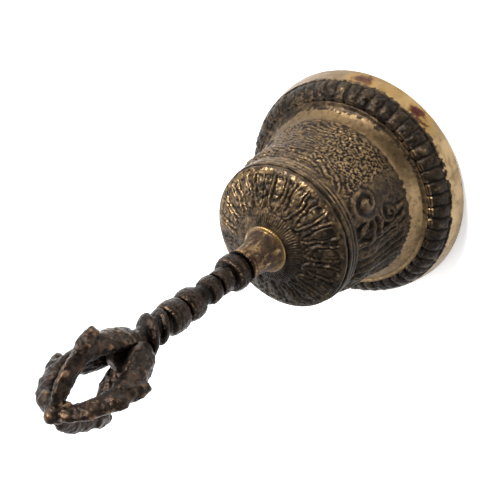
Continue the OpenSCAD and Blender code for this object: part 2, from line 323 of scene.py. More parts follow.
def dome_relief(az, r, z):
    """Petals with double outlines, their bosses, a plain groove, and fine ribs round the collar."""
    rad = np.radians(az)
    x, y = r * np.cos(rad), r * np.sin(rad)
    warp = 0.22 * (fbm(x / 4, y / 4, z / 4, 5) - 0.5)
    ph = (az / 360 * PETALS + warp) % 1
    c = np.abs(ph - 0.5) * 2
    v = (r - PETAL_IN) / (PETAL_OUT - PETAL_IN)    # 0 at the inner end of a petal, 1 at the shoulder
    # half width of the petal's outline, as a share of half the spacing
    half = 0.86 * np.sqrt(np.clip(1 - (1 - np.clip(v, 0, 1)) ** 3.2, 0, 1))
    half = half * np.sqrt(np.clip(1.12 - np.clip(v, 0, 1.1), 0, 1) ** 0.35)
    d = (c - half) * r * math.pi / PETALS          # distance from the petal's outline in mm
    rim = np.exp(-(d / 0.5) ** 2)
    rim2 = np.exp(-((d + 1.35) / 0.38) ** 2)
    on = step(-0.02, 0.05, v) * step(1.02, 0.94, v)
    pillow = np.clip(1 - (c / np.maximum(half - 0.28, 0.05)) ** 2, 0, 1)
    pillow = pillow * step(0.1, 0.3, v) * step(0.95, 0.75, v)
    chip = step(0.30, 0.62, fbm(x / 1.8, y / 1.8, z / 1.8, 83))
    petal = rim * (0.30 + 0.75 * chip) + 0.50 * pillow * (0.5 + 0.7 * chip) - 0.35
    h = on * (petal + 0.35 * rim2 * step(0.5, 0.7, v))
    boss_c = np.exp(-((c * r * math.pi / PETALS / 0.75) ** 2 + ((r - 15.6) / 0.9) ** 2))
    h = h + 0.55 * boss_c
    cell = 1 - np.abs(((az / 360 * PETALS + 0.5) % 1) - 0.5) * 2
    tip = np.exp(-(((1 - cell) * r * math.pi / PETALS / 0.6) ** 2 + ((r - 23.2) / 1.4) ** 2))
    h = h + 0.3 * tip
    ribs = np.cos(az / 360 * RIBS * 2 * math.pi) * step(9.2, 9.8, r) * step(13.4, 12.6, r)
    h = h + 0.10 * ribs - 0.22 * np.exp(-((r - GROOVE_R) / 0.5) ** 2)
    return h + casting_skin(x, y, z, 1.6, 0.52, 0.22, 81) * step(9.0, 9.6, r)


def shell_grid():
    """The plain surface as a grid, with the noise laid over it. Rows run up outside and down inside."""
    outside, inside = shell_outline()
    base = np.concatenate([outside, inside])
    az = np.linspace(-180, 180, COLS, endpoint=False)[None, :] + np.zeros((len(base), 1))
    rad = np.radians(az)
    R = base[:, :1] + 0 * az
    Z = base[:, 1:] + 0 * az
    X, Y = R * np.cos(rad), R * np.sin(rad)
    return SimpleNamespace(
        az=az, rad=rad, R=R, Z=Z,
        normal=outline_normals(base),
        out=(np.arange(len(base)) < len(outside))[:, None],
        low=fbm(X / 9, Y / 9, Z / 9, 1),
        mid=fbm(X / 3, Y / 3, Z / 3, 2),
        fine=fbm(X / 1.1, Y / 1.1, Z / 1.1, 6),
        side=step(-0.5, 0.9, np.cos(np.radians(az - LIT_SIDE_AZ))),     # lighter towards the key lamp and darker on the far side: painted light and painted shade
        band_mid=15.9 + 1.1 * np.cos(rad),                          # the band wasn't ground quite level
    )


def shell_zones(R, Z, out):
    """Where each part of the outer face lies."""
    return SimpleNamespace(
        lip=out & (Z <= LIP_TOP),
        near_lip=out & (Z < 10),
        roll=out & (Z > LIP_TOP) & (Z < ROLL_TOP) & (R > ROLL_R),
        ridge=out & (Z > 12.6) & (Z < 13.45) & (R > 36.3),
        band=out & (Z > BAND_LOW) & (Z < BAND_TOP) & (R > BAND_R),
        band_edges=out & (Z > BAND_LOW) & (Z < 19.4) & (R > BAND_R),
        near_band=out & (Z > 12.9) & (Z < 19.6) & (R > BAND_R),
        body=out & (Z > BAND_TOP) & (Z < BODY_TOP) & (R < BODY_R),
        rings=out & (Z >= BODY_TOP) & (Z <= RINGS_TOP) & (R > RINGS_R),
        dome=out & (Z > RINGS_TOP) & (R <= DOME_R),
    )


def shell_relief(g, zone):
    """Height of the relief, where the body is stippled, and how worn the petals of the roll are."""
    az, R, Z, low, mid, fine = g.az, g.R, g.Z, g.low, g.mid, g.fine
    lobe_h, lobe_wear = lobes(az + 1.5 * (mid - 0.5), Z, 21)
    pits = 0.55 * (fine - 0.5) + 0.3 * (mid - 0.5)
    crisp = 0.55 + 0.45 * np.cos(np.radians(az - CRISP_AZ))
    body_h, grain = body_relief(az, Z, R)
    h = np.where(zone.roll, lobe_h * (0.30 + 0.85 * crisp) + pits * (1.7 - 0.7 * crisp), 0)
    h = np.where(zone.body, body_h, h)
    h = np.where(zone.rings, 0.28 * (mid - 0.5) + 0.18 * (fine - 0.5), h)
    h = np.where(zone.dome, dome_relief(az, R, Z) * step(52.2, 53.2, Z), h)
    h = np.where(zone.lip | zone.band, 0.05 * (low - 0.5) + 0.03 * (mid - 0.5), h)
    h = h + np.where(zone.band_edges, 0.25 * (fine - 0.5) * step(1.7, 2.6, np.abs(Z - g.band_mid)), 0)
    h = h * np.where(g.out, 1, 0) + np.where(g.out, 0, 0.12 * (mid - 0.5))
    return h, grain, lobe_wear


def shell_wear_and_highlights(g, zone, h, grain, lobe_wear):
    """What stands proud is rubbed to bare metal, with painted highlights towards the key lamp, on the ridge
    and along the dome's shoulder, and what lies deep is black: wear with painted highlights, and cavity.
    """
    R, Z, low, mid, fine, side = g.R, g.Z, g.low, g.mid, g.fine, g.side
    proud = high_pass(h, 6)
    raised = step(-0.05, 0.22, proud)
    cavity = step(0.05, -0.16, proud + 0.3 * (fine - 0.5))
    cavity = np.where(zone.roll, np.maximum(cavity, 0.8 * step(0.45, 0.7, 1 - mid)), cavity)
    # bare metal on raised relief, more of it towards the key lamp: wear, with a painted highlight on the lit
    # side
    wear = 0.08 + raised * (0.28 + 0.5 * step(0.3, 0.68, mid + 0.6 * (low - 0.5))) * (0.38 + 0.67 * side)
    wear = wear + grain * (0.14 + 0.34 * raised)
    on_petals = 0.02 + lobe_wear * (0.2 + 0.75 * step(0.4, 0.75, mid)) * (1 - 0.45 * side)
    wear = np.where(zone.roll, on_petals, wear)
    # the ridge over the roll: rubbed metal, with a painted highlight round GLINT_AZ
    painted_glint = bump(turn_from(g.az, GLINT_AZ), 0, 40)
    wear = np.where(zone.ridge, 0.12 + (0.25 + 0.9 * painted_glint) * step(0.42, 0.62, mid), wear)
    crests = step(-0.2, 0.1, np.cos((Z - 46.1) * 2 * math.pi / RING_STEP) + fine - 0.5)
    # ring crests rubbed bright, more towards the key lamp: wear with a painted highlight
    wear = np.where(zone.rings, (0.12 + 0.55 * side) * (0.7 + 0.6 * step(0.4, 0.7, mid)) * crests, wear)
    # a painted copper highlight along the dome's shoulder and a painted lighter band on the outer dome, both
    # strongest towards the key lamp
    shoulder = np.exp(-((R - 25.6) / 0.9) ** 2) * (Z > 52)
    dome_wear_and_highlight = (0.25 + 0.7 * side) * shoulder * step(0.35, 0.6, mid)
    dome_wear_and_highlight = dome_wear_and_highlight + 0.22 * side * step(0.3, 0.6, mid) * step(17, 20, R)
    wear = wear + np.where(zone.dome, dome_wear_and_highlight, 0)
    groove = 0.6 * np.exp(-((R - GROOVE_R) / 0.9) ** 2)
    wear = wear * np.where(zone.dome, 1 - groove - 0.35 * step(13.4, 12.4, R), 1)
    return wear, cavity


def shell_polish(g, zone):
    """Where the lip and the band are bright."""
    lip_edge = 7.1 + 2.6 * (g.mid - 0.5) + 2.0 * (g.fine - 0.5)
    on_lip = np.where(zone.near_lip, step(0.35, -0.35, g.Z - lip_edge), 0)
    band_half = 2.3 + 1.8 * (g.mid - 0.5) + 2.2 * (g.fine - 0.5)
    on_band = np.where(zone.near_band, step(0.3, -0.2, np.abs(g.Z - g.band_mid) - band_half), 0)
    return on_lip, on_band


def shell_stain(g):
    """Heat stains and warm patches of the lip."""
    stain = np.zeros_like(g.R)
    for a, height, half_az, half_z, depth in STAINS:
        da = turn_from(g.az, a) + 9 * (g.mid - 0.5) + 5 * (g.fine - 0.5)
        dz = g.Z - height + 4 * (g.low - 0.5) + 2 * (g.fine - 0.5)
        stain = np.maximum(stain, depth * np.exp(-((da / half_az) ** 2 + (dz / half_z) ** 2)))
    return np.where(g.out & (g.Z < 9), np.clip(1.3 * stain, 0, 1), 0)


def build_shell():
    g = shell_grid()
    zone = shell_zones(g.R, g.Z, g.out)
    h, grain, lobe_wear = shell_relief(g, zone)
    wear, cavity = shell_wear_and_highlights(g, zone, h, grain, lobe_wear)
    on_lip, on_band = shell_polish(g, zone)
    wear = np.maximum(wear, on_lip)
    wear = np.maximum(wear * np.where(g.out & (g.Z > 13.4) & (g.Z < 19.0), 0.5, 1), on_band)
    wear = np.where(g.out, wear, 0.16 + 0.25 * (g.mid - 0.4))
    polish = np.maximum(0.25 * on_band, on_lip)
    lip_side = 0.75 * bump(turn_from(g.az, LIT_SIDE_AZ), 0, 55) * (0.4 + g.mid)
    dull = (0.10 + 0.55 * g.side) * on_band + np.where(zone.near_lip, lip_side, 0)
    # patina painted lighter towards the key lamp and near black on the far side: painted light and painted
    # shade
    tone = np.clip(0.25 + 0.75 * g.side * (0.5 + g.mid) + 0.6 * (g.low - 0.5), 0, 1)
    tone = tone * np.where(zone.roll, 0.22 + 0.2 * g.side, 1)

    push = h[..., None] * g.normal[:, None, :]
    new_r = np.minimum(g.R + push[..., 0], mouth_r - 0.02)
    new_z = g.Z + push[..., 1]
    new_z = np.where(g.R < 10, np.minimum(new_z, g.Z), new_z)      # the collar's seat stays flat
    verts = np.stack([new_r * np.cos(g.rad), new_r * np.sin(g.rad), np.maximum(new_z, 0)], -1)
    attrs = {"wear": np.clip(wear, 0, 1), "polish": np.clip(polish, 0, 1), "stain": shell_stain(g),
             "tone": tone, "cavity": cavity * (1 - polish), "dull": dull}
    attrs = {key: values.ravel() for key, values in attrs.items()}
    faces = ring_faces(len(g.R), COLS, closed=True)
    return mesh_object("bell_shell_cast", verts.reshape(-1, 3) * MM, faces, attrs)


shell = build_shell()
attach(shell, "bell")
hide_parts("bell_shell")


# ---------- collar ----------

def lathe(name, outline, pitch, cols, relief, lean=None):
    """A turned piece whose surface is pushed along its normals by relief(az, r, z)."""
    base = resample(outline, pitch)
    normal = outline_normals(base)
    az = np.linspace(-180, 180, cols, endpoint=False)[None, :] + np.zeros((len(base), 1))
    rad = np.radians(az)
    R, Z = base[:, :1] + 0 * az, base[:, 1:] + 0 * az
    h, attrs = relief(az, R, Z)
    new_r = np.maximum(R + h * normal[:, :1], 0.02)
    new_z = Z + h * normal[:, 1:]
    if lean is not None:
        new_z = new_z + lean(new_r, rad, Z)
    verts = np.stack([new_r * np.cos(rad), new_r * np.sin(rad), new_z], -1).reshape(-1, 3) * MM
    n = len(verts)
    verts = np.concatenate([verts, [[0, 0, verts[:cols, 2].mean()], [0, 0, verts[-cols:, 2].mean()]]])
    faces = ring_faces(len(base), cols)
    faces += [(n, (j + 1) % cols, j) for j in range(cols)]
    top = n - cols
    faces += [(n + 1, top + j, top + (j + 1) % cols) for j in range(cols)]
    attrs = {k: np.concatenate([v.ravel(), v[0, :1], v[-1, :1]]) for k, v in attrs.items()}
    return mesh_object(name, verts, faces, attrs)


collar_lo, collar_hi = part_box("handle_collar")
collar_z0, collar_z1 = collar_lo[2] / MM, collar_hi[2] / MM
TEETH = 58                  # serrations of the flange


def collar_relief(az, r, z):
    rad = np.radians(az)
    x, y = r * np.cos(rad), r * np.sin(rad)
    mid = fbm(x / 2.5, y / 2.5, z / 5, 51)
    fine = fbm(x / 0.8, y / 0.8, z / 0.8, 52)
    flange = bump(z, collar_z0 + 0.7, 1.5)
    teeth = np.cos(az / 360 * 2 * math.pi * TEETH) * bump(z, collar_z0 + 0.65, 0.9) * step(8.0, 8.4, r)
    h = 0.10 * teeth + 0.10 * (fine - 0.5) + 0.10 * (mid - 0.5)
    streak = fbm(x / 1.6, y / 1.6, z / 9, 54)
    shine = 0.26 + 1.1 * (mid - 0.5) + 0.5 * (fine - 0.5) + 1.3 * (streak - 0.5)
    worn_and_sheen = np.clip(np.maximum(shine, 0.95 * flange), 0.08, 1)
    red = step(0.5, 0.75, fbm(x / 3, y / 3, z / 3, 53))
    pit = step(0.62, 0.8, 1 - fine) * (1 - flange)
    return h, {"wear": worn_and_sheen, "polish": worn_and_sheen, "stain": 0.55 * red, "tone": 0.5 + 0 * r, "cavity": 0.8 * pit}


collar_outline = (
    [(2.2, collar_z0), (8.1, collar_z0)]
    + bead(collar_z0 + 0.65, 0.65, 8.6, 8.1, 8)
    + flare(7.3, collar_z0 + 1.6, 5.6, collar_z1 - 1.8, 14, 1.8)
    + bead(collar_z1 - 0.9, 0.9, 5.9, 5.5, 8)
    + [(2.2, collar_z1)]
)
collar = lathe("collar_turned", collar_outline, 0.28, 200, collar_relief)
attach(collar, "bell")
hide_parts("handle_collar")


# ---------- stem ----------

stem_z = collar_z1
# height, half height, radius and neck radius of each bead
STEM = [(stem_z + 0.7, 0.7, 6.1, 5.4), (stem_z + 4.8, 3.4, 6.45, 4.3), (86.2, 2.9, 4.4, 3.8),
        (92.0, 2.8, 4.6, 3.5), (102.0, 3.9, 5.4, 3.5), (110.0, 4.0, 5.5, 4.1)]
RINGS = ((116.3, 1.5, 5.1), (121.7, 1.7, 6.1))      # the two crooked rings: height, half height, radius
RING_LEAN = math.radians(25)


def stem_relief(az, r, z):
    rad = np.radians(az)
    x, y = r * np.cos(rad), r * np.sin(rad)
    mid = fbm(x / 2.2, y / 2.2, z / 2.2, 61)
    fine = fbm(x / 0.6, y / 0.6, z / 0.6, 62)
    scratch = noise(z / 0.32 + 1.2 * mid, x / 6, y / 6, 63)      # tool lines left by turning
    h = 0.5 * (mid - 0.5) + 0.36 * (fine - 0.5) + 0.16 * (scratch - 0.5)
    swell = step(3.7, 4.8, r)
    worn_and_sheen = 0.03 + 0.22 * swell * step(0.5, 0.75, mid) + 0.28 * step(0.58, 0.8, fine) * swell
    pit = np.maximum(step(0.5, 0.75, 1 - fine), step(4.6, 3.7, r))
    # dark necks between the beads, thin bright lines on their shoulders
    for zc, half, _, _ in STEM:
        for sign in (-1, 1):
            pit = np.maximum(pit, bump(z, zc + sign * half, 0.75))
            h = h - 0.25 * bump(z, zc + sign * half, 0.7)
            worn_and_sheen = worn_and_sheen + 0.55 * bump(z, zc + sign * (half - 1.05), 0.5) * step(0.35, 0.6, fine)
    return h, {"wear": np.clip(worn_and_sheen, 0, 1), "polish": 0 * r, "stain": 0 * r,
               "tone": np.clip(0.1 + 0.8 * (mid - 0.35), 0, 1), "cavity": pit}


def ring_lean(r, rad, z):
    """How far the two crooked rings are tipped, in mm of height."""
    share = step(113.4, 115.0, z) * step(125.0, 123.2, z)
    return -share * math.tan(RING_LEAN) * r * np.cos(rad)


stem_outline = [(2.2, stem_z)]
for zc, half, r, valley in STEM:
    stem_outline += bead(zc, half, r, valley, 14)
stem_outline += [(4.0, 114.4), (3.8, 114.7)]
for zc, half, r in RINGS:
    stem_outline += bead(zc, half, r, 3.5, 12)
stem_outline += [(3.7, 123.9), (3.9, 126.3), (0.4, 126.4)]
stem = lathe("stem_beaded", stem_outline, 0.26, 176, stem_relief, ring_lean)
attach(stem, "bell")
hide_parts("handle_stem")


# ---------- finial ----------

LEAN, LEAN_AZ = math.radians(5.2), math.radians(230)    # how far the finial leans, and to which side
TURN = 2.5                  # degrees by which the prongs are off the diagonals
STEM_TOP = 125.2
BOW = 12.2                  # radius of a prong's outermost bend
BUD_OVER = 0.07             # the bud is drawn this far over the CAD's top, and melting takes it just under
VOXEL = 0.30 * MM


def lean_matrix():
    """The lean of the whole finial, about the top of the stem."""
    az = Matrix.Rotation(LEAN_AZ, 4, "Z")
    return (Matrix.Translation((0, 0, STEM_TOP)) @ az @ Matrix.Rotation(LEAN, 4, "Y")
            @ az.inverted() @ Matrix.Translation((0, 0, -STEM_TOP)))


def spline(p, t):
    """A smooth run through points, from t = 0 to t = 1, with an equal share of t for each span."""
    p = np.array(p, float)
    n = len(p) - 1
    i = min(int(t * n), n - 1)
    u = t * n - i
    a, b, c, d = p[max(i - 1, 0)], p[i], p[i + 1], p[min(i + 2, n)]
    square, cube = 2 * a - 5 * b + 4 * c - d, 3 * b - a - 3 * c + d
    return 0.5 * (2 * b + (c - a) * u + square * u * u + cube * u ** 3)


def sweep(path, crest, sides=40, rings=200):
    """A bar along a path of (radius, height, half width, half thickness), with a crest on its outer face."""
    rows = []
    s = np.linspace(0, 2 * math.pi, sides, endpoint=False)
    for i in range(rings + 1):
        t = i / rings
        p = spline(path, t)
        q = spline(path, min(t + 0.01, 1)) - spline(path, max(t - 0.01, 0))
        m = math.hypot(q[0], q[1])
        side = np.array([q[1], -q[0]]) / m
        thick = p[3] * np.cos(s) * (1 + crest * np.clip(np.cos(s), 0, 1) ** 5)
        rows.append(np.stack([p[0] + side[0] * thick, p[2] * np.sin(s), p[1] + side[1] * thick], 1))
    verts = np.concatenate(rows + [rows[0].mean(0)[None], rows[-1].mean(0)[None]])
    faces = ring_faces(rings + 1, sides)
    n = (rings + 1) * sides
    faces += [(n, (j + 1) % sides, j) for j in range(sides)]
    faces += [(n + 1, n - sides + j, n - sides + (j + 1) % sides) for j in range(sides)]
    return verts, faces


def revolved(outline, cols=48):
    """A solid of revolution about the Z axis."""
    p = np.array(outline, float)
    t = np.linspace(0, 2 * math.pi, cols, endpoint=False)
    verts = np.stack([p[:, :1] * np.cos(t), p[:, :1] * np.sin(t), p[:, 1:] + 0 * t], -1).reshape(-1, 3)
    faces = ring_faces(len(p), cols)
    n = len(verts)
    verts = np.concatenate([verts, [[0, 0, p[0, 1]], [0, 0, p[-1, 1]]]])
    faces += [(n, (j + 1) % cols, j) for j in range(cols)]
    faces += [(n + 1, n - cols + j, n - cols + (j + 1) % cols) for j in range(cols)]
    return verts, faces


def horn(a, b, base, point, bend=0.0):
    """A pointed spur between two points of the radial plane, given as (radius, height)."""
    a, b = np.array(a, float), np.array(b, float)
    side = np.array([-(b - a)[1], (b - a)[0]]) * bend
    path = []
    for t in np.linspace(0, 1, 5):
        c = a + (b - a) * t + side * math.sin(math.pi * t)
        w = base + (point - base) * t
        path.append((c[0], c[1], w * 1.1, w))
    return sweep(path, 0.0, 28, 60)


def melted(name, solids):
    """Solids melted into one soft lump."""
    verts, faces, start = [], [], 0
    for v, f in solids:
        verts.append(v)
        faces += [tuple(i + start for i in face) for face in f]
        start += len(v)
    lump = mesh_object(name + "_lump", np.concatenate(verts) * MM, faces)
    mod = lump.modifiers.new("melt", "REMESH")
    mod.mode = "VOXEL"
    mod.voxel_size = VOXEL
    soft = lump.modifiers.new("soften", "SMOOTH")
    soft.factor = 0.5
    soft.iterations = 24
    graph = bpy.context.evaluated_depsgraph_get()
    mesh = bpy.data.meshes.new_from_object(lump.evaluated_get(graph))
    bpy.data.objects.remove(lump)
    return mesh


def vertex_vectors(mesh, key):
    values = np.empty(len(mesh.vertices) * 3, np.float32)
    mesh.vertices.foreach_get(key, values)
    return values.reshape(-1, 3)


def stands_proud(mesh, p, normal, reach=16):
    """How far each vertex stands over its neighbours."""
    edge = np.empty(len(mesh.edges) * 2, np.int32)
    mesh.edges.foreach_get("vertices", edge)
    edge = edge.reshape(-1, 2)
    count = np.bincount(edge.ravel(), minlength=len(p))[:, None]
    mean = p.copy()
    for _ in range(reach):
        total = np.zeros_like(p)
        np.add.at(total, edge[:, 0], mean[edge[:, 1]])
        np.add.at(total, edge[:, 1], mean[edge[:, 0]])
        mean = total / np.maximum(count, 1)
    return ((p - mean) * normal).sum(1)


def cast(name, solids, seed, worn_edges, rough=1.0):
    """Solids melted into one rough casting, then pitted and given its wear and a painted sheen."""
    mesh = melted(name, solids)
    p, normal = vertex_vectors(mesh, "co") / MM, vertex_vectors(mesh, "normal")
    # on axes that are turned, the noise leaves no bands across a prong
    skew = p.astype(float) @ np.array(Matrix.Rotation(0.7, 3, (0.5, 0.7, 0.3)))
    mid = fbm(*(skew.T / 3.2), seed, 2)
    fine = fbm(*(skew.T / 1.15), seed + 1, 2)
    h = rough * (0.9 * (mid - 0.5) + 0.6 * (fine - 0.5))
    p = p + normal * h[:, None]
    turn = np.array(lean_matrix())
    p = p @ turn[:3, :3].T + turn[:3, 3]
    mesh.vertices.foreach_set("co", (p * MM).astype(np.float32).ravel())
    mesh.polygons.foreach_set("use_smooth", [True] * len(mesh.polygons))
    mesh.update()
    # edges and swellings are worn, and what faces outwards is worn and given a painted sheen
    normal = vertex_vectors(mesh, "normal")
    proud = stands_proud(mesh, p, normal)
    out = np.hypot(p[:, 0], p[:, 1])
    worn_and_sheen = 0.03 + worn_edges * step(0.05, 0.24, proud) * step(0.35, 0.62, mid)
    worn_and_sheen = worn_and_sheen + 0.35 * step(0.6, 0.8, fine) * step(0.0, 0.15, proud)
    # a painted sheen along the outward faces, standing in for the gloss on the crests
    facing = (normal[:, :2] * p[:, :2]).sum(1) / np.maximum(out, 1)
    worn_and_sheen = worn_and_sheen + 0.22 * step(0.72, 0.96, facing) * step(0.3, 0.6, mid) * step(0.3, 0.5, fine)
    pit = np.maximum(step(0.05, -0.25, proud), 0.8 * step(0.52, 0.75, 1 - fine))
    tone = np.clip(0.05 + 1.1 * (mid - 0.35) + 0.01 * out, 0, 1)
    set_attributes(mesh, {"wear": np.clip(worn_and_sheen, 0, 1), "polish": 0 * worn_and_sheen, "cavity": pit,
                          "stain": 0 * worn_and_sheen, "tone": tone})
    return linked(name, mesh)


def turned(solid, degrees):
    """A solid turned about the Z axis."""
    verts, faces = solid
    a = math.radians(degrees)
    rot = np.array([[math.cos(a), -math.sin(a), 0], [math.sin(a), math.cos(a), 0], [0, 0, 1]])
    return verts @ rot.T, faces


def prong_path(low, high, wide, thick):
    """Radius, height, half width and half thickness down one prong, from the cup to the knot at the tip."""
    line = [
        (3.4, 129.0, 3.4, 2.2),
        (6.6, 132.8, 5.6, 2.6),
        (8.5, 137.2, 5.6, 2.7),
        (BOW - 1.4, 142.4, 4.0, 2.7),
        (BOW, 147.8, 2.9, 2.8),
        (BOW - 1.6, 152.2, 2.6, 2.7),
        (8.2, 156.3, 2.4, 2.5),
        (4.9, 159.6, 2.3, 2.2),
        (1.2, 161.8, 2.0, 1.6),
    ]
    shares = np.linspace(0, 1, len(line)) ** 1.5
    return [(r * (low + (high - low) * k), z, w * wide, t * thick) for (r, z, w, t), k in zip(line, shares)]


# the four prongs were not cast alike: bow low down, bow high up, width, thickness, turn, reach of the spur
PRONGS = ((1.0, 1.0, 1.05, 0.95, 0, 4.6), (1.0, 1.02, 0.95, 0.9, -4, 4.6),
          (0.95, 0.97, 1.0, 1.22, 2, 4.6), (0.88, 0.78, 0.95, 1.0, 0, 4.3))
handle = [stem]
for i, (low, high, wide, thick, off, spur) in enumerate(PRONGS):
    angle = 45 + TURN + 90 * i + off
    outer = horn((12.0 * low, 148.6), (12 * low + spur, 148.6 - 1.5 * spur), 2.8, 1.5, 0.12)
    inner = horn((10.6 * low, 147.0), (7.6 * low, 142.0), 2.2, 0.8, -0.08)
    parts = [sweep(prong_path(low, high, wide, thick), 0.3), outer, inner]
    if thick > 1.1:                 # the thickest prong has a second knob
        parts.append(horn((11.4 * low, 152.8), (16.2 * low, 149.8), 2.6, 1.6))
    prong = cast("prong_cast_%d" % (i + 1), [turned(s, angle) for s in parts], 100 + 10 * i, 0.30)
    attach(prong, "bell")
    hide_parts("prong_%d" % (i + 1))
    handle.append(prong)

cup_outline = (ease(4.1, STEM_TOP - 0.2, 6.6, 130) + bead(131.5, 1.5, 7.3, 6.6, 8)
               + [(6.4, 133.1), (6.0, 132.4), (5.0, 131.9), (3.0, 131.5), (0.3, 131.3)])
core_outline = [(5.6 * math.cos(t), 131.0 + 7.0 * math.sin(t)) for t in np.radians(np.linspace(0, 86, 10))]
cup = cast("cup_cast", [revolved(cup_outline), revolved([(4.0, 130.2)] + core_outline)], 150, 0.35, 0.9)
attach(cup, "bell")
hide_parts("finial_cup")

_, tip_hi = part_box("finial_tip")
bud_z = round(tip_hi[2] / MM + BUD_OVER, 1)
bud_outline = (
    [(3.3 * math.sin(t), 162.6 - 2.8 * math.cos(t)) for t in np.radians(np.linspace(8, 90, 8))]
    + ease(3.3, 162.9, 2.0, bud_z - 2.1)
    + [(2.0 * math.cos(t), bud_z - 2.0 * (1 - math.sin(t))) for t in np.radians(np.linspace(12, 84, 6))]
)
bud_spur = turned(horn((0.5, 159.5), (4.4, 160.4), 2.0, 1.4), 255)
tip = cast("tip_cast", [revolved(bud_outline), bud_spur], 170, 0.6, 0.8)
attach(tip, "bell")
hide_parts("finial_tip")
handle += [cup, tip]


# ---------- materials ----------

class Nodes:
    """Short calls for building a node material."""

    def __init__(self, name):
        self.mat = bpy.data.materials.new(name)
        self.mat.use_nodes = True
        self.tree = self.mat.node_tree
        self.bsdf = self.tree.nodes["Principled BSDF"]
        self.coord = self.tree.nodes.new("ShaderNodeTexCoord").outputs["Object"]

    def put(self, value, socket):
        if isinstance(value, bpy.types.NodeSocket):
            self.tree.links.new(value, socket)
        elif isinstance(value, (tuple, list)) and len(value) == 3 and socket.type == "RGBA":
            socket.default_value = (*value, 1)
        else:
            socket.default_value = value

    def noise(self, scale, detail, rough=0.55, stretch=None, distort=0.0):
        node = self.tree.nodes.new("ShaderNodeTexNoise")
        node.inputs["Scale"].default_value = scale
        node.inputs["Detail"].default_value = detail
        node.inputs["Roughness"].default_value = rough
        node.inputs["Distortion"].default_value = distort
        vector = self.coord
        if stretch:
            m = self.tree.nodes.new("ShaderNodeMapping")
            m.inputs["Scale"].default_value = stretch
            self.tree.links.new(vector, m.inputs["Vector"])
            vector = m.outputs[0]
        self.tree.links.new(vector, node.inputs["Vector"])
        return node.outputs["Fac"]

    def attr(self, name):
        node = self.tree.nodes.new("ShaderNodeAttribute")
        node.attribute_name = name
        return node.outputs["Fac"]

    def math(self, op, a, b, clamp=False):
        node = self.tree.nodes.new("ShaderNodeMath")
        node.operation = op
        node.use_clamp = clamp
        self.put(a, node.inputs[0])
        self.put(b, node.inputs[1])
        return node.outputs[0]

    def span(self, value, lo, hi, to_lo=0.0, to_hi=1.0):
        node = self.tree.nodes.new("ShaderNodeMapRange")
        node.interpolation_type = "SMOOTHSTEP"
        self.put(value, node.inputs["Value"])
        for key, v in (("From Min", lo), ("From Max", hi), ("To Min", to_lo), ("To Max", to_hi)):
            self.put(v, node.inputs[key])
        return node.outputs[0]

    def mix(self, fac, a, b):
        node = self.tree.nodes.new("ShaderNodeMix")
        node.data_type = "RGBA"
        self.put(fac, node.inputs[0])
        self.put(a, node.inputs[6])
        self.put(b, node.inputs[7])
        return node.outputs[2]

    def bump(self, height, distance, strength, normal=None):
        node = self.tree.nodes.new("ShaderNodeBump")
        node.inputs["Strength"].default_value = strength
        node.inputs["Distance"].default_value = distance
        self.put(height, node.inputs["Height"])
        if normal is not None:
            self.tree.links.new(normal, node.inputs["Normal"])
        return node.outputs[0]

    def out(self, colour, metal, rough, normal=None, specular=0.12):
        self.put(colour, self.bsdf.inputs["Base Color"])
        self.put(metal, self.bsdf.inputs["Metallic"])
        self.put(rough, self.bsdf.inputs["Roughness"])
        self.bsdf.inputs["Specular IOR Level"].default_value = specular
        if normal is not None:
            self.put(normal, self.bsdf.inputs["Normal"])
        return self.mat


def brass(name, worn_and_sheen=(0.235, 0.155, 0.080), shiny=(0.325, 0.232, 0.125), dark=(0.018, 0.013, 0.009),
          brown=(0.13, 0.085, 0.046), reach=0.75, lines=0.5, gloss=0.0):
    """Brass that is black or brown where it lies deep, and bare metal where the wear attribute says so; that
    attribute also carries painted highlights and a painted sheen.
    reach and lines are the strength of the pits and of the lathe lines, gloss is the polish of hands."""
    n = Nodes(name)
    wear, polish, stain, tone, cavity = (n.attr(k) for k in ("wear", "polish", "stain", "tone", "cavity"))
    grain = n.noise(1500, 5, 0.65)
    cloud = n.noise(210, 4, 0.6, distort=0.4)
    patch = n.noise(75, 3, 0.55)
    # patina, from near black to greyish brown
    patina = n.mix(n.math("MULTIPLY", tone, n.span(cloud, 0.3, 0.75), True), dark, brown)
    # bare metal: dull where it has tarnished again, then blotches, then heat stains with a red core
    gold = n.mix(polish, worn_and_sheen, shiny)
    gold = n.mix(n.attr("dull"), gold, tuple(0.52 * c for c in worn_and_sheen))
    gold = n.mix(n.span(cloud, 0.42, 0.68, 0, 0.75), gold, tuple(0.5 * c for c in worn_and_sheen))
    gold = n.mix(n.span(patch, 0.48, 0.66, 0, 0.6), gold, (0.165, 0.108, 0.052))
    gold = n.mix(n.span(stain, 0.04, 0.40, 0, 0.8), gold, (0.27, 0.165, 0.050))
    core = n.mix(grain, (0.085, 0.020, 0.010), (0.022, 0.010, 0.014))
    core_share = n.math("MULTIPLY", n.span(stain, 0.35, 1.0), n.span(cloud, 0.25, 0.6, 0.55, 1.0))
    gold = n.mix(core_share, gold, core)
    broken = n.math("ADD", wear, n.math("MULTIPLY", n.math("SUBTRACT", grain, 0.5), 0.9), True)
    gild = n.span(broken, 0.25, 0.85)
    colour = n.mix(gild, patina, gold)
    colour = n.mix(n.math("MULTIPLY", cavity, 0.93), colour, (0.006, 0.0045, 0.0035))
    metal = n.span(gild, 0, 1, 0.5 + 0.35 * gloss, 0.95)
    rough = n.span(gild, 0, 1, 0.40 - 0.1 * gloss, 0.34)
    rough = n.math("ADD", rough, n.math("MULTIPLY", n.math("SUBTRACT", cloud, 0.5), 0.35), True)
    pits = n.noise(2600, 4, 0.7)
    lathe_lines = n.noise(900, 3, 0.6, stretch=(0.06, 0.06, 3.0))
    normal = n.bump(pits, 0.00012, reach)
    normal = n.bump(lathe_lines, 0.00003, lines, normal)
    return n.out(colour, metal, rough, normal, 0.12 + 0.06 * gloss)


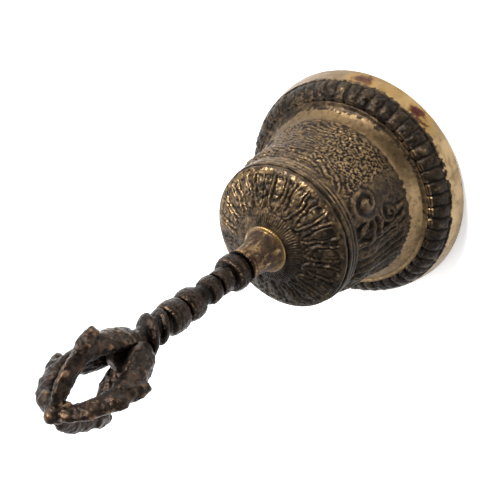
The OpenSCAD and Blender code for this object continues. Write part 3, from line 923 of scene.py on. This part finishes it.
def iron(name):
    """Dark forged iron with rust in patches."""
    n = Nodes(name)
    cloud = n.noise(260, 5, 0.65, distort=0.6)
    grain = n.noise(1900, 4, 0.7)
    mixed = n.math("ADD", cloud, n.math("MULTIPLY", n.math("SUBTRACT", grain, 0.5), 0.5))
    colour = n.mix(n.span(mixed, 0.48, 0.66), (0.05, 0.045, 0.042), (0.16, 0.065, 0.03))
    rough = n.span(mixed, 0.4, 0.7, 0.42, 0.85)
    metal = n.span(mixed, 0.45, 0.66, 0.9, 0.25)
    return n.out(colour, metal, rough, n.bump(mixed, 0.00025, 0.7))


def struck_brass(name):
    """The striker's metal, half bright and half dark."""
    n = Nodes(name)
    cloud = n.noise(150, 5, 0.6, distort=0.5)
    grain = n.noise(1300, 4, 0.7)
    mixed = n.math("ADD", cloud, n.math("MULTIPLY", n.math("SUBTRACT", grain, 0.5), 0.45))
    colour = n.mix(n.span(mixed, 0.40, 0.62), (0.50, 0.36, 0.17), (0.06, 0.042, 0.026))
    return n.out(colour, n.span(mixed, 0.4, 0.62, 1.0, 0.5), n.span(mixed, 0.4, 0.65, 0.3, 0.55),
                 n.bump(mixed, 0.0003, 0.6))


shell_metal = brass("patinated_brass")
collar_metal = brass("rubbed_brass", worn_and_sheen=(0.26, 0.155, 0.080), shiny=(0.36, 0.25, 0.135),
                     brown=(0.15, 0.080, 0.040), reach=0.35)
handle_metal = brass("handled_brass", worn_and_sheen=(0.15, 0.092, 0.055), dark=(0.018, 0.0128, 0.0100),
                     brown=(0.068, 0.042, 0.028), reach=1.0, lines=0.0, gloss=1.0)
iron_metal = iron("forged_iron")
ball_metal = struck_brass("struck_brass")
shell.data.materials.append(shell_metal)
collar.data.materials.append(collar_metal)
for obj in handle:
    obj.data.materials.append(handle_metal)
INSIDE = {"tie_rod": iron_metal, "crown_washer": iron_metal, "lock_nut": iron_metal,
          "clapper_link": iron_metal, "clapper_rod": iron_metal, "clapper_striker": ball_metal}
for node, material in INSIDE.items():
    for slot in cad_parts[node].material_slots:
        slot.material = material


# ---------- stage, lights, camera ----------

FLOOR_Z = -0.0003           # just below the rim
corners = [(-12, -12), (12, -12), (12, 12), (-12, 12)]
floor = mesh_object("floor", np.array([[x, y, FLOOR_Z] for x, y in corners], float), [(0, 1, 2, 3)])
sheet = Nodes("paper")
sheet.out(sheet.mix(sheet.noise(6, 2), (0.93, 0.93, 0.925), (0.90, 0.90, 0.895)), 0.0, 0.9)
sheet.bsdf.inputs["Emission Color"].default_value = (1, 1, 1, 1)
sheet.bsdf.inputs["Emission Strength"].default_value = 0.38
# seen from below the floor is clear, so that the mouth and the clapper can be looked at
clear = sheet.tree.nodes.new("ShaderNodeBsdfTransparent")
either = sheet.tree.nodes.new("ShaderNodeMixShader")
sheet.tree.links.new(sheet.tree.nodes.new("ShaderNodeNewGeometry").outputs["Backfacing"], either.inputs[0])
sheet.tree.links.new(sheet.bsdf.outputs[0], either.inputs[1])
sheet.tree.links.new(clear.outputs[0], either.inputs[2])
sheet.tree.links.new(either.outputs[0], sheet.tree.nodes["Material Output"].inputs["Surface"])
floor.data.materials.append(sheet.mat)


def placed(right, up, back, spot):
    """A matrix from three axes and a place."""
    return Matrix([[right[k], up[k], back[k], spot[k]] for k in range(3)] + [[0, 0, 0, 1]])


def area(name, spot, size, watts, colour=(1, 1, 1)):
    """A square lamp that faces the middle of the bell."""
    data = bpy.data.lights.new(name, "AREA")
    data.shape = "SQUARE"
    data.size = size
    data.energy = watts
    data.color = colour
    spot = np.array(spot, float)
    aim = np.array([0, 0, 0.07])
    back = (spot - aim) / np.linalg.norm(spot - aim)
    right = np.cross([0, 0, 1.0], back)
    right = right / np.linalg.norm(right)
    up = np.cross(back, right)
    linked(name, data).matrix_world = placed(right, up, back, spot)


area("key", (0.55, -0.22, 0.50), 0.18, 10.0, (1.0, 0.985, 0.96))
area("fill", (-0.60, -0.45, 0.30), 0.5, 2.2, (0.97, 0.985, 1.0))
area("back", (0.1, 0.7, 0.5), 0.5, 4.0)

# the bell is lit by a white tent with a dark card in it, and the camera sees plain white
world = bpy.data.worlds.new("studio")
world.use_nodes = True
tree = world.node_tree
way = tree.nodes.new("ShaderNodeTexCoord").outputs["Generated"]
dot = tree.nodes.new("ShaderNodeVectorMath")
dot.operation = "DOT_PRODUCT"
dot.inputs[1].default_value = (-0.25, -0.72, 0.64)      # the side on which the card stands
tree.links.new(way, dot.inputs[0])
card = tree.nodes.new("ShaderNodeMapRange")
card.interpolation_type = "SMOOTHSTEP"
for key, v in (("From Min", 0.05), ("From Max", 0.85), ("To Min", 0.85), ("To Max", 0.10)):
    card.inputs[key].default_value = v
tree.links.new(dot.outputs["Value"], card.inputs["Value"])
tree.links.new(card.outputs[0], tree.nodes["Background"].inputs["Strength"])
paper = tree.nodes.new("ShaderNodeBackground")
paper.inputs["Strength"].default_value = 0.95
seen = tree.nodes.new("ShaderNodeMixShader")
tree.links.new(tree.nodes.new("ShaderNodeLightPath").outputs["Is Camera Ray"], seen.inputs[0])
tree.links.new(tree.nodes["Background"].outputs[0], seen.inputs[1])
tree.links.new(paper.outputs[0], seen.inputs[2])
tree.links.new(seen.outputs[0], tree.nodes["World Output"].inputs["Surface"])
tree.nodes["Background"].inputs["Color"].default_value = (1, 1, 1, 1)
paper.inputs["Color"].default_value = (1, 1, 1, 1)
scene = bpy.context.scene
scene.world = world
scene.view_settings.view_transform = "Standard"

cam_data = bpy.data.cameras.new("camera")
cam_data.sensor_width = 36
cam_data.lens = 64.8
cam_data.clip_start = 0.01
# the camera's axes, and where it stands
right = (-0.59105, -0.54682, -0.59300)
up = (0.80658, -0.40906, -0.42672)
back = (-0.00923, -0.73051, 0.68283)
spot = (0.0, -0.22288, 0.27575)
cam = linked("camera", cam_data)
cam.matrix_world = placed(right, up, back, spot)
scene.camera = cam
